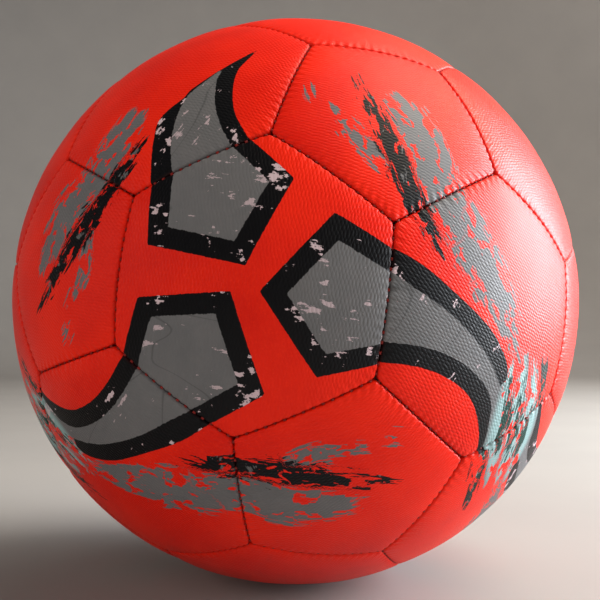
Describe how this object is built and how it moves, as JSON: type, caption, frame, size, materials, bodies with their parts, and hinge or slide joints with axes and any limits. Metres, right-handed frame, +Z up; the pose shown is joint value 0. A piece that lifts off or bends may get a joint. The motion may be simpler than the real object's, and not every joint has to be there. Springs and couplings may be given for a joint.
{
  "type": "soccer ball",
  "caption": "Machine-stitched soccer ball with hexagon and pentagon panels, foam backing, an inflated bladder and a needle valve.",
  "frame": {"origin": "the ball's centre", "axes": "+Z up, the front hexagon faces -Y, and the valve's axis is +Y, out of the back"},
  "size_m": [0.22, 0.2199, 0.22],
  "materials": {
    "printed_cover": "satin synthetic leather, embossed fine grain, printed black and grey",
    "plain_cover": "satin synthetic leather, embossed fine grain",
    "foam": "closed-cell foam",
    "lining_cloth": "woven cloth",
    "thread": "waxed twisted polyester",
    "bladder_rubber": "smooth butyl rubber",
    "valve_rubber": "moulded rubber"
  },
  "bodies": {
    "ball": {"bladder": "bladder_rubber", "hub_hexagon_01": "printed_cover", "hub_hexagon_02": "printed_cover", "hub_hexagon_03": "printed_cover", "hub_hexagon_04": "printed_cover", "hub_hexagon_foam_pads": "foam", "hub_hexagon_linings": "lining_cloth", "hub_pentagon_threads": "thread", "hub_wing_threads": "thread", "pentagon_01": "plain_cover", "pentagon_02": "plain_cover", "pentagon_03": "plain_cover", "pentagon_04": "plain_cover", "pentagon_05": "plain_cover", "pentagon_06": "plain_cover", "pentagon_07": "plain_cover", "pentagon_08": "plain_cover", "pentagon_09": "plain_cover", "pentagon_10": "plain_cover", "pentagon_11": "plain_cover", "pentagon_12": "plain_cover", "pentagon_foam_pads": "foam", "pentagon_linings": "lining_cloth", "plain_hexagon_01": "plain_cover", "plain_hexagon_02": "plain_cover", "plain_hexagon_03": "plain_cover", "plain_hexagon_foam_pads": "foam", "plain_hexagon_linings": "lining_cloth", "plain_pentagon_threads": "thread", "valve_hexagon": "plain_cover", "valve_hexagon_foam_pad": "foam", "valve_hexagon_lining": "lining_cloth", "valve_housing": "valve_rubber", "valve_patch": "lining_cloth", "wing_hexagon_01": "printed_cover", "wing_hexagon_02": "printed_cover", "wing_hexagon_03": "printed_cover", "wing_hexagon_04": "printed_cover", "wing_hexagon_05": "printed_cover", "wing_hexagon_06": "printed_cover", "wing_hexagon_07": "printed_cover", "wing_hexagon_08": "printed_cover", "wing_hexagon_09": "printed_cover", "wing_hexagon_10": "printed_cover", "wing_hexagon_11": "printed_cover", "wing_hexagon_12": "printed_cover", "wing_hexagon_foam_pads": "foam", "wing_hexagon_linings": "lining_cloth", "wing_pentagon_threads": "thread", "wing_plain_threads": "thread", "wing_wing_threads": "thread"},
    "insert": {"valve_insert": "valve_rubber"}
  },
  "joints": [
    {"name": "valve_insert_pull", "type": "slide", "parent": "ball", "child": "insert", "axis": [0, 1, 0], "range_m": [0, 0.03]}
  ]
}
